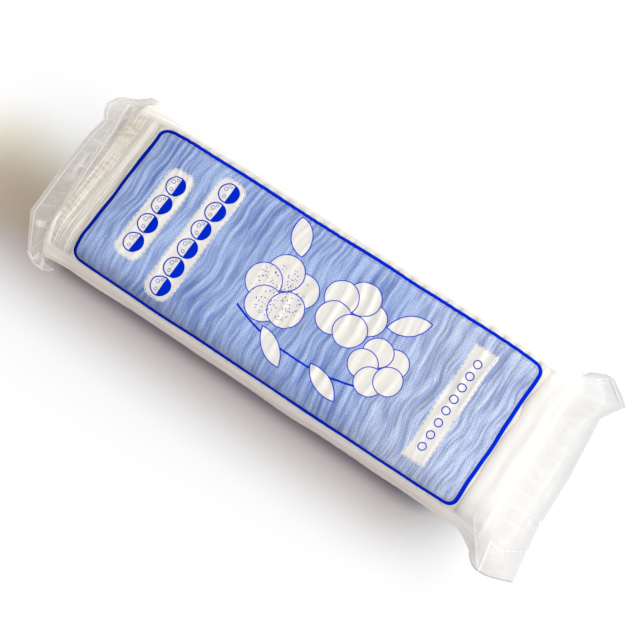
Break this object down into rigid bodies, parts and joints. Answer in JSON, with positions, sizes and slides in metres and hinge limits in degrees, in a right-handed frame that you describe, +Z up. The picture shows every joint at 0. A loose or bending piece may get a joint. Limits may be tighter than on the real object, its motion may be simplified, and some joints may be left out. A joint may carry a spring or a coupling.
{
  "type": "zigzag cotton wool pack",
  "caption": "Long web of cotton wool folded in a zigzag, in a thin clear film pack that is welded flat at both ends and printed with a blue panel.",
  "frame": {"origin": "middle of the pack's box on the surface it lies on", "axes": "+X along the pack towards the end with the wide ears, +Y across it, +Z up out of the printed face"},
  "size_m": [0.294, 0.117, 0.049],
  "materials": {
    "cotton_wool": "soft matte off-white cotton fibre",
    "printed_film": "thin clear film, slightly milky, with a halftone blue panel"
  },
  "bodies": {
    "root": {"cotton_web": "cotton_wool", "film_bag": "printed_film"}
  },
  "joints": []
}
